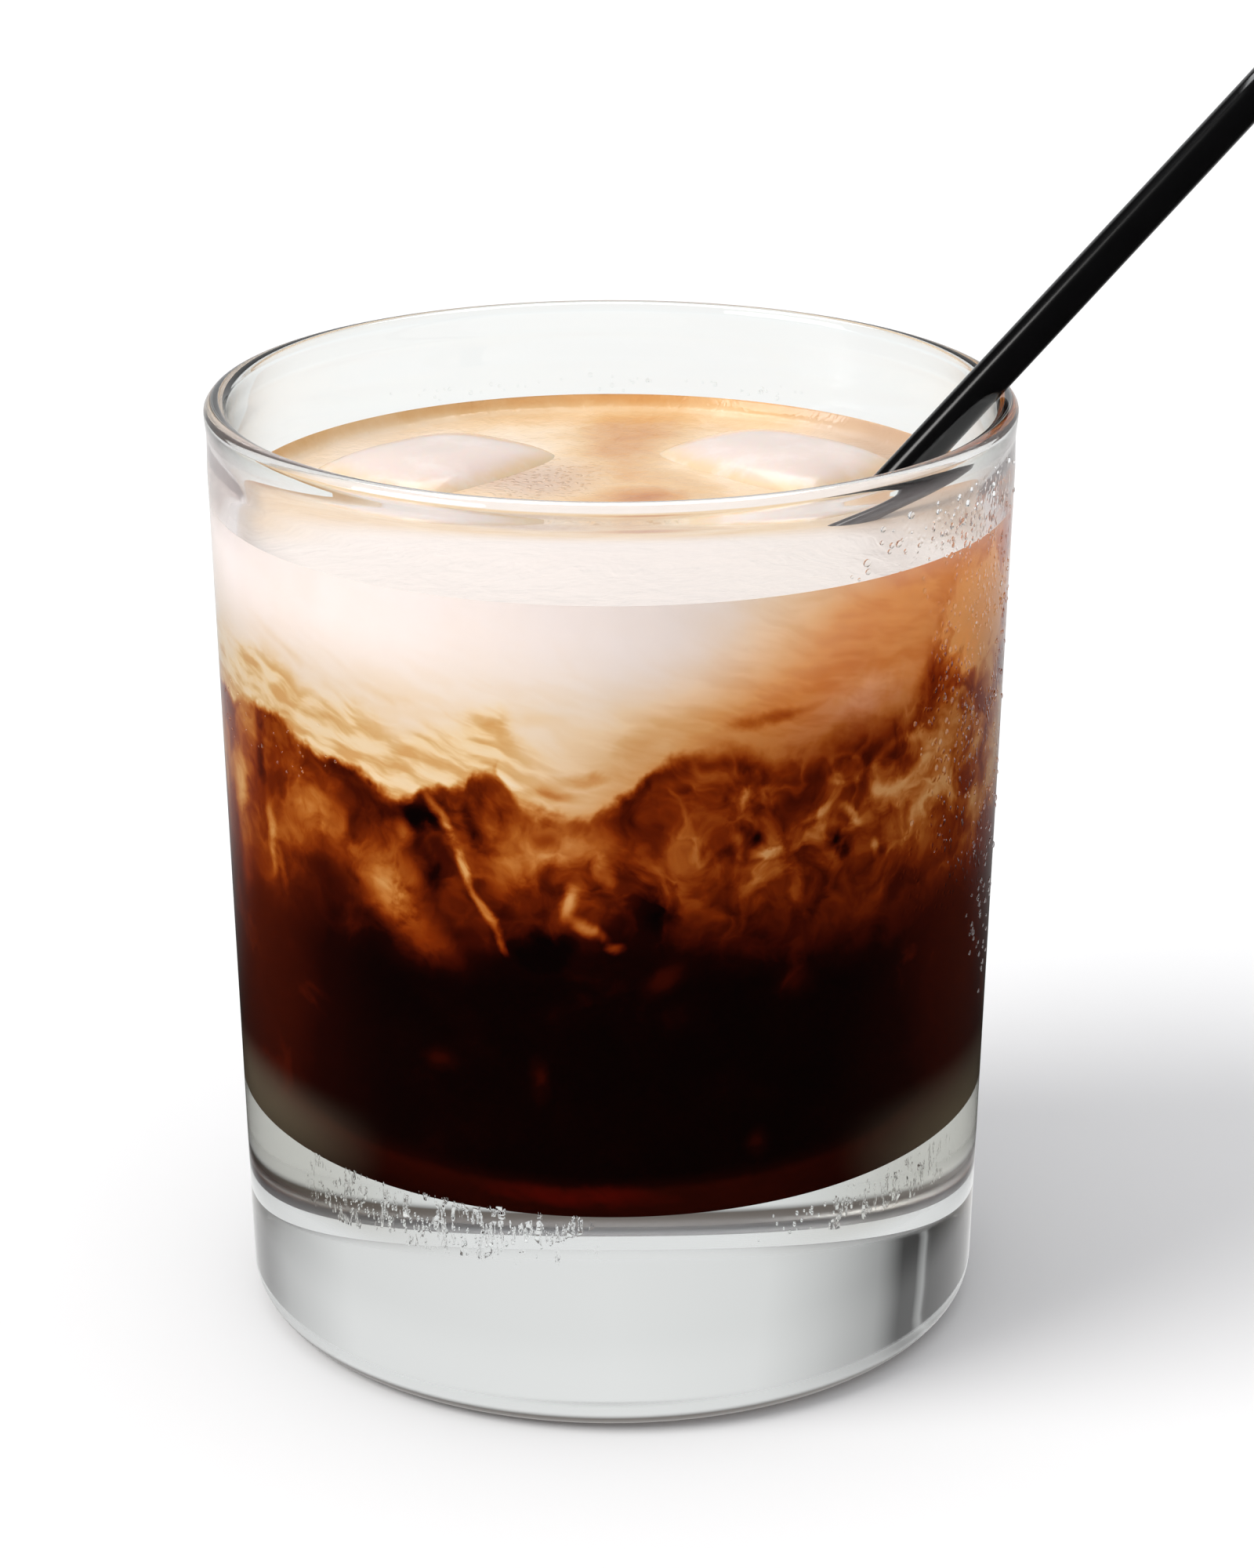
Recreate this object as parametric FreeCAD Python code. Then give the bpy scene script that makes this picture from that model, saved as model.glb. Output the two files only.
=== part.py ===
import FreeCAD, Part
import math
import os

# A white russian: cream floated on coffee liqueur and vodka over ice, served with a thin black
# straw in a heavy-based rocks glass.  Millimetres.  The table is z = 0 and +Z is up, the glass's
# axis is the Z axis, and the front of the drink faces -Y.  Azimuths are degrees round the glass
# from its front, positive towards +X.

os.makedirs("parts", exist_ok=True)

# ---- glass -----------------------------------------------------------------------------------
glass_height = 102.3
rim_radius = 43.0            # widest, at the bead of the lip
base_radius = 40.3           # where the straight wall would meet the table
rim_wall = 2.2               # wall thickness under the lip
floor_wall = 2.8             # wall thickness where it meets the floor
floor_thickness = 22.7       # the heavy base
floor_corner = 9.0           # inside radius between floor and wall
heel_radius = 4.1            # rounding between the wall and the foot
foot_width = 5.5             # flat ring the glass stands on
punt_depth = 0.5             # hollow under the base, inside the ring
lip_radius = 1.2             # half the thickness of the rounded bead
lip_neck = 0.13              # waist under the bead, outside and in
lip_neck_drop = 3.6          # from the crest down to the waist
lip_run = 7.0                # from the crest down to the plain wall

# ---- drink -----------------------------------------------------------------------------------
headroom = 12.4              # crest of the rim down to the surface of the drink
meniscus_rise = 1.5
meniscus_width = 2.4
cream_depth = 14.6           # mean thickness of the cream
cream_lean = 3.2             # the cream is this much thinner on one side, thicker opposite
cream_lean_azimuth = 70.0    # side where it is thinnest
cream_lobe_count = 19        # billows hanging from the cream round the wall
cream_lobe_drop = 2.3        # mean depth of a billow
cream_lobe_spread = 0.36     # how unevenly deep and wide the billows are
cream_curl_azimuth = -6.0    # the one large curl, near the front
cream_curl_half_width = 7.5
cream_curl_drop = 3.6
cream_swell = 1.1            # waves in the underside away from the wall
cream_swell_pitch = 17.0
mingled_depth = 23.5         # mean thickness of the coffee streaked with sinking cream
mingled_wave = 1.7
mingled_wave_count = 7
surface_step = 2.3           # spacing of the curves that the two undersides are drawn through
surface_margin = 4.0         # the undersides are drawn this far past the wall, then trimmed

# ---- ice that breaks the surface -------------------------------------------------------------
ice_edge = 6.0               # melted edges
ice_stand = 2.0              # top face above the drink at its middle
ice_wall_gap = 0.8           # corner of a cube to the wall
left_ice_width = 25.0        # along the radius of the glass
left_ice_length = 31.5       # across it
left_ice_height = 22.0
left_ice_azimuth = -132.0
left_ice_tip = 1.5           # the outer edge stands this many degrees lower than the inner one
left_ice_roll = 2.2
right_ice_width = 24.5
right_ice_length = 31.5
right_ice_height = 21.0
right_ice_azimuth = 136.0
right_ice_tip = 1.0
right_ice_roll = -2.0

# ---- straw -----------------------------------------------------------------------------------
straw_diameter = 4.1
straw_wall = 0.35
straw_length = 145.0
straw_slope = 42.0           # above level
straw_heading = 113.7        # azimuth that its upper end leans towards
straw_rest_azimuth = 88.4    # where it lies on the rim
straw_rest_gap = 0.1
straw_end_gap = 0.3          # lower end to the wall of the glass

V = FreeCAD.Vector
AXIS = V(0, 0, 1)

level = glass_height - headroom
cream_base = level - cream_depth
mingled_base = cream_base - mingled_depth


def outward(azimuth):
    """Level unit vector that points out of the glass at an azimuth from its front."""
    a = math.radians(azimuth)
    return V(math.sin(a), -math.cos(a), 0)


def outer_radius(z):
    return base_radius + (rim_radius - base_radius) * z / glass_height


def inner_radius(z):
    rise = (z - floor_thickness) / (glass_height - floor_thickness)
    return outer_radius(z) - floor_wall - (rim_wall - floor_wall) * rise


def at(r, z):
    return V(r, 0, z)


def line(a, b):
    return Part.LineSegment(a, b).toShape()


def inside_wall(z_top):
    """Floor, rounded corner and wall of the hollow, from the axis out and up to z_top."""
    slope = (inner_radius(glass_height) - inner_radius(floor_thickness)) / (glass_height - floor_thickness)
    beta = math.atan(slope)
    run = floor_corner * (1 - math.sin(beta)) / math.cos(beta)
    r_floor = inner_radius(floor_thickness)
    on_wall = at(r_floor + run * math.sin(beta), floor_thickness + run * math.cos(beta))
    centre = at(on_wall.x - floor_corner * math.cos(beta), floor_thickness + floor_corner)
    on_floor = at(centre.x, floor_thickness)
    half = (math.pi / 2 + beta) / 2
    middle = centre + at(math.cos(half - beta), -math.sin(half - beta)) * 1.0
    middle = centre + (middle - centre) * floor_corner
    top = at(inner_radius(z_top), z_top)
    return [line(at(0, floor_thickness), on_floor),
            Part.Arc(on_floor, middle, on_wall).toShape(),
            line(on_wall, top)], top


def revolved(edges):
    face = Part.Face(Part.Wire(Part.__sortEdges__(edges)))
    return face.revolve(V(0, 0, 0), AXIS, 360)


def make_glass():
    taper = at(outer_radius(1) - outer_radius(0), 1)
    taper.normalize()
    foot_out = at(base_radius, 0)
    foot_in = at(base_radius - heel_radius - foot_width, 0)
    punt_top = at(0, punt_depth)
    punt_mid = at(foot_in.x * 0.55, punt_depth * 0.86)
    run_z = glass_height - lip_run
    neck_z = glass_height - lip_neck_drop
    bead = at(rim_radius - lip_radius, glass_height - lip_radius)
    lip_points = [at(outer_radius(run_z), run_z), at(outer_radius(neck_z) - lip_neck, neck_z)]
    lip_points += [bead + at(math.cos(math.radians(a)), math.sin(math.radians(a))) * lip_radius
                   for a in (0, 45, 90, 135, 180)]
    lip_points += [at(inner_radius(neck_z) + lip_neck, neck_z), at(inner_radius(run_z), run_z)]
    lip = Part.BSplineCurve()
    inner_taper = at(inner_radius(0) - inner_radius(1), -1)
    inner_taper.normalize()
    lip.interpolate(Points=lip_points, InitialTangent=taper, FinalTangent=inner_taper)
    hollow, hollow_top = inside_wall(run_z)
    edges = [Part.Arc(punt_top, punt_mid, foot_in).toShape(),
             line(foot_in, foot_out),
             line(foot_out, lip_points[0]),
             lip.toShape()] + hollow + [line(at(0, floor_thickness), punt_top)]
    glass = revolved(edges)
    foot_edges = [e for e in glass.Edges
                  if abs(e.BoundBox.ZMax) < 1e-6 and abs(e.BoundBox.XMax - foot_out.x) < 1e-3
                  and e.BoundBox.XLength > foot_out.x]
    return glass.makeFillet(heel_radius, foot_edges)


def make_drink():
    """All the drink up to its surface, which climbs the wall a little."""
    hollow, top = inside_wall(level + meniscus_rise)
    foot = at(inner_radius(level) - meniscus_width, level)
    curve = Part.BSplineCurve()
    curve.interpolate(Points=[top, at(inner_radius(level) - 0.22 * meniscus_width, level + 0.33 * meniscus_rise),
                              foot], InitialTangent=at(-0.25, -1), FinalTangent=at(-1, 0))
    surface = line(foot, at(0, level))
    return revolved(hollow + [curve.toShape(), surface, line(at(0, level), at(0, floor_thickness))])


def lobe(azimuth, centre, half_width):
    """Rounded billow, 1 at its centre and fading out over its half width."""
    d = (azimuth - centre + 180) % 360 - 180
    return math.exp(-(d / half_width) ** 2)


def cream_underside(x, y):
    r = math.hypot(x, y)
    azimuth = math.degrees(math.atan2(x, -y))
    near_wall = min(1.0, r / inner_radius(cream_base)) ** 2
    z = cream_base + cream_lean * near_wall * math.cos(math.radians(azimuth - cream_lean_azimuth))
    pitch = 360.0 / cream_lobe_count
    for k in range(cream_lobe_count):
        uneven = cream_lobe_spread * math.sin(2.4 * k + 0.6)
        centre = pitch * (k + 0.8 * cream_lobe_spread * math.cos(1.7 * k))
        drop = cream_lobe_drop * (1 + 1.5 * uneven)
        z -= near_wall * drop * lobe(azimuth, centre, 0.36 * pitch * (1 + uneven))
    z -= near_wall * cream_curl_drop * lobe(azimuth, cream_curl_azimuth, cream_curl_half_width)
    wave = 2 * math.pi / cream_swell_pitch
    return z + cream_swell * (1 - near_wall) * math.sin(wave * x) * math.cos(wave * y)


def mingled_underside(x, y):
    r = math.hypot(x, y)
    azimuth = math.atan2(x, -y)
    near_wall = min(1.0, r / inner_radius(mingled_base)) ** 2
    ripple = 0.6 * math.sin(mingled_wave_count * azimuth + 0.8) + 0.4 * math.sin(3 * azimuth - 0.5)
    return mingled_base + mingled_wave * near_wall * ripple


def below(height_at, depth):
    """Solid under a smooth uneven surface, wide enough to split the drink."""
    reach = inner_radius(level) + surface_margin
    count = int(math.ceil(2 * reach / surface_step))
    ticks = [-reach + 2 * reach * i / count for i in range(count + 1)]
    sheet = Part.BSplineSurface()
    sheet.interpolate([[V(x, y, height_at(x, y)) for x in ticks] for y in ticks])
    return sheet.toShape().extrude(V(0, 0, -depth))


def make_ice(width, length, height, azimuth, tip, roll):
    """A half-melted cube afloat against the wall, tilted so that its edges dip under the cream."""
    block = Part.makeBox(width, length, height, V(-width / 2, -length / 2, -height))
    block = block.makeFillet(ice_edge, block.Edges)
    block.rotate(V(0, 0, 0), V(0, 1, 0), tip)
    block.rotate(V(0, 0, 0), V(1, 0, 0), roll)
    corner = ice_edge * (1 - math.sqrt(0.5))
    clear = inner_radius(level - height) - ice_wall_gap
    reach = math.sqrt(clear ** 2 - (length / 2 - corner) ** 2) + corner
    out = outward(azimuth)
    block.rotate(V(0, 0, 0), AXIS, math.degrees(math.atan2(out.y, out.x)))
    block.translate(out * (reach - width / 2) + V(0, 0, level + ice_stand))
    return block


def straw_line():
    """Lower end and direction of the straw: over the rim's bead, down to the wall inside."""
    s = math.radians(straw_slope)
    direction = outward(straw_heading) * math.cos(s) + AXIS * math.sin(s)
    out = outward(straw_rest_azimuth)
    along_rim = AXIS.cross(out)
    up = direction.cross(along_rim)
    up.normalize()
    if up.z < 0:
        up = up * -1
    bead = out * (rim_radius - lip_radius) + AXIS * (glass_height - lip_radius)
    rest = bead + up * (lip_radius + straw_rest_gap + straw_diameter / 2)
    low, high = 0.0, 3 * rim_radius
    for step in range(60):
        middle = (low + high) / 2
        end = rest - direction * middle
        side = end.sub(AXIS * end.z)
        tilt = side * (1 / max(side.Length, 1e-9))
        across = math.sqrt(max(0.0, 1 - tilt.dot(direction) ** 2))
        free = inner_radius(end.z) - side.Length - straw_diameter / 2 * across - straw_end_gap
        if middle < rim_radius or free > 0:
            low = middle
        else:
            high = middle
    return rest - direction * low, direction


glass = make_glass()
drink = make_drink()
lower_end, straw_direction = straw_line()
straw_body = Part.makeCylinder(straw_diameter / 2, straw_length, lower_end, straw_direction)
straw_bore = Part.makeCylinder(straw_diameter / 2 - straw_wall, straw_length, lower_end, straw_direction)
straw = straw_body.cut(straw_bore)
ice_left = make_ice(left_ice_width, left_ice_length, left_ice_height, left_ice_azimuth,
                    left_ice_tip, left_ice_roll)
ice_right = make_ice(right_ice_width, right_ice_length, right_ice_height, right_ice_azimuth,
                     right_ice_tip, right_ice_roll)

under_cream = below(cream_underside, glass_height)
under_mingled = below(mingled_underside, glass_height)
cream = drink.cut(under_cream)
coffee = drink.common(under_cream)
mingled = coffee.cut(under_mingled)
liqueur = coffee.common(under_mingled)


def cut_round(layer, pieces):
    """The layer with room for what stands in it."""
    for piece in pieces:
        layer = layer.cut(piece)
    solids = sorted(layer.Solids, key=lambda s: -s.Volume)
    return solids[0]


sunk = [straw_body, ice_left, ice_right]
nodes = {
    "glass": glass,
    "liqueur": cut_round(liqueur, sunk),
    "mingled_coffee": cut_round(mingled, sunk),
    "cream": cut_round(cream, sunk),
    "ice_left": ice_left,
    "ice_right": ice_right,
    "straw": straw,
}
for name, shape in nodes.items():
    shape.exportStep("parts/%s.step" % name)
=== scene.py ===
"""White russian in a rocks glass: the looks of the drink, its glass, ice and straw, and the studio."""
import bpy
import bmesh
import math
import random
from mathutils import Matrix, Vector, noise


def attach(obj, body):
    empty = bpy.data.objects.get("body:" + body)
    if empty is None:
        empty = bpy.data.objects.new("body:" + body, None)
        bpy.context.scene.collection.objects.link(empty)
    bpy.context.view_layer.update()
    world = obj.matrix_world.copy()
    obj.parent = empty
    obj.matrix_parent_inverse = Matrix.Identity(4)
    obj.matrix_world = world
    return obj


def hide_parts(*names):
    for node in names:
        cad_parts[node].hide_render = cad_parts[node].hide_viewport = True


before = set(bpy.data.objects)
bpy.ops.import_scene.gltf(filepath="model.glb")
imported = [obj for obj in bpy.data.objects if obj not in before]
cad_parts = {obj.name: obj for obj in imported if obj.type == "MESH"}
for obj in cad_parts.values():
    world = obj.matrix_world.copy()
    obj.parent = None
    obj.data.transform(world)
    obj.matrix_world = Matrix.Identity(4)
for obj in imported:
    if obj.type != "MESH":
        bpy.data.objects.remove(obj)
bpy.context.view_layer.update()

bl_info = {
    "name": "White russian",
    "version": (1, 0, 0),
    "blender": (4, 5, 0),
    "location": "View3D > Sidebar > Drink",
    "description": "Builds a white russian in its rocks glass, and the studio round it",
    "category": "Object",
}

MM = 0.001
ROUND = 256                       # sides of the glass and the drink
AROUND = 38.0                     # mm along the wall for each radian
CREASE = math.radians(50)         # edges that turn further are sharp


def linear(shade):
    """A colour in sRGB, 0..255, as linear light."""
    return tuple(((c / 255 + 0.055) / 1.055) ** 2.4 if c > 10 else c / 255 / 12.92 for c in shade)


# ---- sizes ------------------------------------------------------------------------------------
def length(name, description, value):
    """A size in the sidebar, in metres."""
    return bpy.props.FloatProperty(name=name, description=description, default=value * MM, min=0.0,
                                   subtype="DISTANCE", unit="LENGTH", precision=4)


def colour(name, description, value):
    """A colour in the sidebar, given as sRGB 0..255 and kept as linear light."""
    return bpy.props.FloatVectorProperty(name=name, description=description, subtype="COLOR", size=3,
                                         min=0.0, max=1.0, default=linear(value))


def angle(name, description, value):
    """An angle in the sidebar, given in degrees."""
    return bpy.props.FloatProperty(name=name, description=description, default=math.radians(value),
                                   subtype="ANGLE", unit="ROTATION")


class GlassSizes(bpy.types.PropertyGroup):
    height: length("Height", "Table to the crest of the rim", 102.3)
    rim_radius: length("Rim radius", "Outside radius at the bead", 43.0)
    base_radius: length("Base radius", "Outside radius where the wall would meet the table", 40.3)
    rim_wall: length("Rim wall", "Wall thickness under the lip", 2.2)
    floor_wall: length("Floor wall", "Wall thickness at the floor", 2.8)
    floor_thickness: length("Floor", "Thickness of the heavy base", 22.7)
    floor_corner: length("Floor corner", "Inside radius between floor and wall", 9.0)
    heel_radius: length("Heel radius", "Rounding between the wall and the foot", 4.1)
    foot_width: length("Foot width", "Width of the ring it stands on", 5.5)
    punt_depth: length("Punt depth", "Hollow under the base", 0.4)
    lip_radius: length("Lip radius", "Half the thickness of the bead", 1.2)
    lip_neck: length("Lip neck", "Waist under the bead", 0.13)
    neck_depth: length("Neck depth", "Crest of the rim to the waist", 3.6)
    lip_depth: length("Lip depth", "Crest of the rim to where the wall runs straight", 7.0)
    tint: colour("Tint", "Colour of thick glass", (250, 253, 252))


class DrinkSizes(bpy.types.PropertyGroup):
    level: length("Level", "Height of the surface", 89.9)
    meniscus_rise: length("Meniscus rise", "How far the drink climbs the wall", 1.5)
    meniscus_width: length("Meniscus width", "How far from the wall it starts to climb", 2.4)
    wall_grip: length("Wall grip", "How far the drink reaches into the glass", 0.08)
    cream_base: length("Cream base", "Mean height of the underside of the cream", 75.3)
    cream_lean: length("Cream lean", "How much thinner the cream is on one side", 3.2)
    cream_lobe_drop: length("Billow depth", "Mean depth of a billow hanging from the cream", 2.3)
    cream_curl_drop: length("Curl depth", "Depth of the large curl near the front", 3.6)
    cream_swell: length("Cream swell", "Waves in the underside away from the wall", 1.1)
    mingled_base: length("Mingled base", "Mean height of the underside of the mingled coffee", 51.8)
    mingled_wave: length("Mingled wave", "Waves round the underside of the mingled coffee", 1.7)
    coffee: colour("Coffee", "Coffee liqueur without any cream", (7, 1, 1))
    cream: colour("Cream", "Cream at its thickest", (248, 231, 214))


class IceSizes(bpy.types.PropertyGroup):
    edge: length("Edge", "Melted edges", 6.0)
    stand: length("Stand", "Top face above the drink", 2.0)
    melt: length("Melt", "How far the top has melted down at its edges", 4.4)
    wall_gap: length("Wall gap", "Corner of a cube to the wall", 0.8)


class StrawSizes(bpy.types.PropertyGroup):
    diameter: length("Diameter", "Outside diameter", 4.1)
    wall: length("Wall", "Thickness", 0.35)
    length: length("Length", "End to end", 145.0)
    slope: angle("Slope", "Above level", 42.0)
    heading: angle("Heading", "Azimuth that its upper end leans towards", 113.7)
    rest_azimuth: angle("Rest azimuth", "Where it lies on the rim", 88.4)
    rest_gap: length("Rest gap", "Straw to the bead it lies on", 0.1)
    end_gap: length("End gap", "Lower end to the wall of the glass", 0.3)
    black: colour("Black", "Plastic", (5, 5, 6))


def sizes(group):
    """The sidebar's values for the glass, the drink, the ice or the straw."""
    return getattr(bpy.context.scene, "drink_" + group)


# ---- shapes shared by several pieces -------------------------------------------------------------
def outward(azimuth):
    """Level unit vector out of the glass; the front is 0 and +X is 90 degrees."""
    return Vector((math.sin(azimuth), -math.cos(azimuth), 0))


def outer_radius(z):
    """Outside of the wall at a height."""
    g = sizes("glass")
    return g.base_radius + (g.rim_radius - g.base_radius) * z / g.height


def inner_radius(z):
    """Inside of the wall at a height."""
    g = sizes("glass")
    rise = (z - g.floor_thickness) / (g.height - g.floor_thickness)
    return outer_radius(z) - g.floor_wall - (g.rim_wall - g.floor_wall) * rise


def arc(centre, radius, turns):
    """(radius, height) points round a centre."""
    return [(centre[0] + radius * math.cos(t), centre[1] + radius * math.sin(t)) for t in turns]


def floor_corner(grip):
    """Where the floor ends, and the corner from there up to the wall, swollen by the grip."""
    g = sizes("glass")
    slope = (inner_radius(g.height) - inner_radius(g.floor_thickness)) / (g.height - g.floor_thickness)
    beta = math.atan(slope)
    run = g.floor_corner * (1 - math.sin(beta)) / math.cos(beta)
    centre = (inner_radius(g.floor_thickness) + run * math.sin(beta) - g.floor_corner * math.cos(beta),
              g.floor_thickness + g.floor_corner)
    turns = [-math.pi / 2 + (math.pi / 2 - beta) * i / 14 for i in range(15)]
    return centre[0], arc(centre, g.floor_corner + grip, turns)


def new_piece(name, mesh_builder, materials, smooth=True):
    """An object at the origin with the mesh that the builder makes."""
    bm = bmesh.new()
    mesh_builder(bm)
    bmesh.ops.recalc_face_normals(bm, faces=bm.faces)
    mesh = bpy.data.meshes.new(name)
    for face in bm.faces:
        face.smooth = smooth
    for edge in bm.edges:
        edge.smooth = len(edge.link_faces) == 2 and edge.calc_face_angle() < CREASE
    bm.to_mesh(mesh)
    bm.free()
    for material in materials:
        mesh.materials.append(material)
    piece = bpy.data.objects.new(name, mesh)
    bpy.context.scene.collection.objects.link(piece)
    return piece


def spin_profile(bm, points, sides=ROUND):
    """Turns a (radius, height) line round the upright axis and closes it at the poles."""
    verts = [bm.verts.new((r, 0, z)) for r, z in points]
    edges = [bm.edges.new(pair) for pair in zip(verts, verts[1:])]
    bmesh.ops.spin(bm, geom=verts + edges, cent=(0, 0, 0), axis=(0, 0, 1), angle=2 * math.pi,
                   steps=sides, use_merge=True)
    bmesh.ops.remove_doubles(bm, verts=bm.verts, dist=1e-7)


def smooth_line(points, steps):
    """Catmull-Rom line through the points."""
    out = []
    ends = [points[0]] + list(points) + [points[-1]]
    for i in range(1, len(ends) - 2):
        p0, p1, p2, p3 = ends[i - 1:i + 3]
        for k in range(steps):
            t = k / steps
            out.append(tuple(0.5 * (2 * b + (c - a) * t + (2 * a - 5 * b + 4 * c - d) * t * t
                                    + (3 * b - a - 3 * c + d) * t ** 3)
                             for a, b, c, d in zip(p0, p1, p2, p3)))
    out.append(tuple(points[-1]))
    return out


def glass_profile():
    """The whole section of the glass, from under its middle, out, over the rim and down inside."""
    g = sizes("glass")
    foot_in = g.base_radius - g.heel_radius - g.foot_width
    punt = (foot_in ** 2 + g.punt_depth ** 2) / (2 * g.punt_depth)
    points = [(r, g.punt_depth - punt + math.sqrt(punt ** 2 - r ** 2))
              for r in (foot_in * i / 10 for i in range(11))]

    beta = math.atan((g.rim_radius - g.base_radius) / g.height)
    heel = (g.base_radius + g.heel_radius * (math.tan(beta) - 1 / math.cos(beta)), g.heel_radius)
    points += arc(heel, g.heel_radius, [-math.pi / 2 + (math.pi / 2 - beta) * i / 16 for i in range(17)])
    straight = g.height - g.lip_depth
    for i in range(1, 12):
        z = g.heel_radius + (straight - g.heel_radius) * i / 11
        points.append((outer_radius(z), z))

    neck = g.height - g.neck_depth
    bead = (g.rim_radius - g.lip_radius, g.height - g.lip_radius)
    lip = [(outer_radius(straight), straight), (outer_radius(neck) - g.lip_neck, neck)]
    lip += arc(bead, g.lip_radius, [math.radians(a) for a in range(0, 181, 30)])
    lip += [(inner_radius(neck) + g.lip_neck, neck), (inner_radius(straight), straight)]
    points += smooth_line(lip, 5)[1:]

    floor_end, corner = floor_corner(0.0)
    for i in range(1, 12):
        z = straight + (corner[-1][1] - straight) * i / 12
        points.append((inner_radius(z), z))
    points += corner[::-1]
    return points + [(floor_end * (6 - i) / 6, g.floor_thickness) for i in range(1, 7)]


# ---- materials: small helpers that wire nodes ------------------------------------------------------
class Wiring:
    """Adds nodes to a tree and joins them in one call."""

    def __init__(self, tree):
        self.tree = tree
        self.tree.nodes.clear()

    def node(self, kind, **settings):
        made = self.tree.nodes.new(kind)
        for key, value in settings.items():
            setattr(made, key, value)
        return made

    def join(self, source, target):
        """Links a socket, or sets a plain value or colour."""
        if isinstance(source, bpy.types.NodeSocket):
            self.tree.links.new(source, target)
        elif target.type == "RGBA" and len(source) == 3:
            target.default_value = (*source, 1.0)
        else:
            target.default_value = source

    def fill(self, made, sources):
        for source, socket in zip(sources, made.inputs):
            self.join(source, socket)
        return made

    def filled(self, kind, **values):
        """A node with sockets filled by name; an underscore stands for the space in a socket's name."""
        made = self.node("ShaderNode" + kind)
        for key, value in values.items():
            self.join(value, made.inputs[key.replace("_", " ")])
        return made

    def math(self, operation, a, b=0.0, c=0.0, clamp=False):
        made = self.node("ShaderNodeMath", operation=operation, use_clamp=clamp)
        return self.fill(made, (a, b, c)).outputs[0]

    def chain(self, operation, values):
        total = values[0]
        for value in values[1:]:
            total = self.math(operation, total, value)
        return total

    def add(self, *values):
        return self.chain("ADD", values)

    def times(self, *values):
        return self.chain("MULTIPLY", values)

    def line(self, value, slope, start):
        return self.math("MULTIPLY_ADD", value, slope, start)

    def step(self, value, low, high, start=0.0, end=1.0):
        """Smooth step from start to end while the value goes from low to high."""
        made = self.node("ShaderNodeMapRange", interpolation_type="SMOOTHSTEP")
        return self.fill(made, (value, low, high, start, end)).outputs[0]

    def parts(self, place):
        """The x, y and z of a place."""
        return tuple(self.fill(self.node("ShaderNodeSeparateXYZ"), (place,)).outputs)

    def combined(self, *parts):
        """A place from its x, y and z."""
        return self.fill(self.node("ShaderNodeCombineXYZ"), parts).outputs[0]

    def vector(self, operation, a, b):
        return self.fill(self.node("ShaderNodeVectorMath", operation=operation), (a, b)).outputs["Vector"]

    def scaled(self, place, scale):
        made = self.fill(self.node("ShaderNodeVectorMath", operation="SCALE"), (place,))
        made.inputs["Scale"].default_value = scale
        return made.outputs["Vector"]

    def stretched(self, place, *shares):
        return self.vector("MULTIPLY", place, shares)

    def distance(self, place):
        return self.fill(self.node("ShaderNodeVectorMath", operation="LENGTH"), (place,)).outputs["Value"]

    def moved(self, place, offset, share):
        return self.vector("ADD", place, self.scaled(offset, share))

    def noise(self, place, pitch, detail=2.0, rough=0.5, colour=False):
        """Noise whose lumps are about the pitch apart, in the place's own unit."""
        made = self.filled("TexNoise", Vector=place, Scale=1.0 / pitch, Detail=detail, Roughness=rough)
        return made.outputs["Color" if colour else "Fac"]

    def wander(self, place, pitch, detail=2.0, rough=0.5):
        """Noise along x, y and z, from about -0.5 to 0.5."""
        return self.vector("SUBTRACT", self.noise(place, pitch, detail, rough, colour=True), (0.5, 0.5, 0.5))

    def cells(self, place, pitch):
        """How far it is to the middle of the nearest of many small cells."""
        return self.filled("TexVoronoi", Vector=place, Scale=1.0 / pitch).outputs["Distance"]

    def oval(self, place, centre, size, turn):
        """Distance from the centre of a turned oval, 1 at its edge."""
        made = self.node("ShaderNodeMapping", vector_type="TEXTURE")
        turned = (0, 0, math.radians(turn))
        self.fill(made, (place, (*centre, 0), turned, (*size, 1)))
        return self.distance(made.outputs[0])

    def puff(self, place, centre, size, turn, soft, amount=1.0):
        """Soft oval: the amount in the middle, nothing past its size."""
        return self.step(self.oval(place, centre, size, turn), 1.0, 1.0 - soft, 0.0, amount)

    def curl(self, place, centre, size, turn, width, amount):
        """Thin ring along the edge of an oval."""
        off = self.math("ABSOLUTE", self.math("SUBTRACT", self.oval(place, centre, size, turn), 1.0))
        return self.step(off, width, 0.0, 0.0, amount)

    def ramp(self, value, stops):
        """A colour for each value, from (value, linear colour) stops."""
        made = self.fill(self.node("ShaderNodeValToRGB"), (value,))
        band = made.color_ramp
        band.elements[0].position, band.elements[1].position = stops[0][0], stops[-1][0]
        for place, _ in stops[1:-1]:
            band.elements.new(place)
        for element, (_, shade) in zip(band.elements, stops):
            element.color = (*shade, 1.0)
        return made.outputs[0]

    def curve(self, value, points):
        """A height for each value, on a smooth curve through the points, both from 0 to 1."""
        made = self.node("ShaderNodeFloatCurve")
        line = made.mapping.curves[0]
        line.points[0].location, line.points[1].location = points[0], points[-1]
        for point in points[1:-1]:
            line.points.new(*point)
        made.mapping.update()
        self.join(value, made.inputs["Value"])
        return made.outputs[0]

    def mix(self, amount, a, b, blend="MIX"):
        made = self.node("ShaderNodeMix", data_type="RGBA", blend_type=blend)
        for source, socket in zip((amount, a, b), (made.inputs[0], made.inputs[6], made.inputs[7])):
            self.join(source, socket)
        return made.outputs[2]

    def facing(self, blend):
        """0 where the surface faces the eye, 1 where it turns away."""
        return self.filled("LayerWeight", Blend=blend).outputs["Facing"]

    def bump(self, height, strength, distance):
        return self.filled("Bump", Height=height, Strength=strength, Distance=distance).outputs[0]

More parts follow.
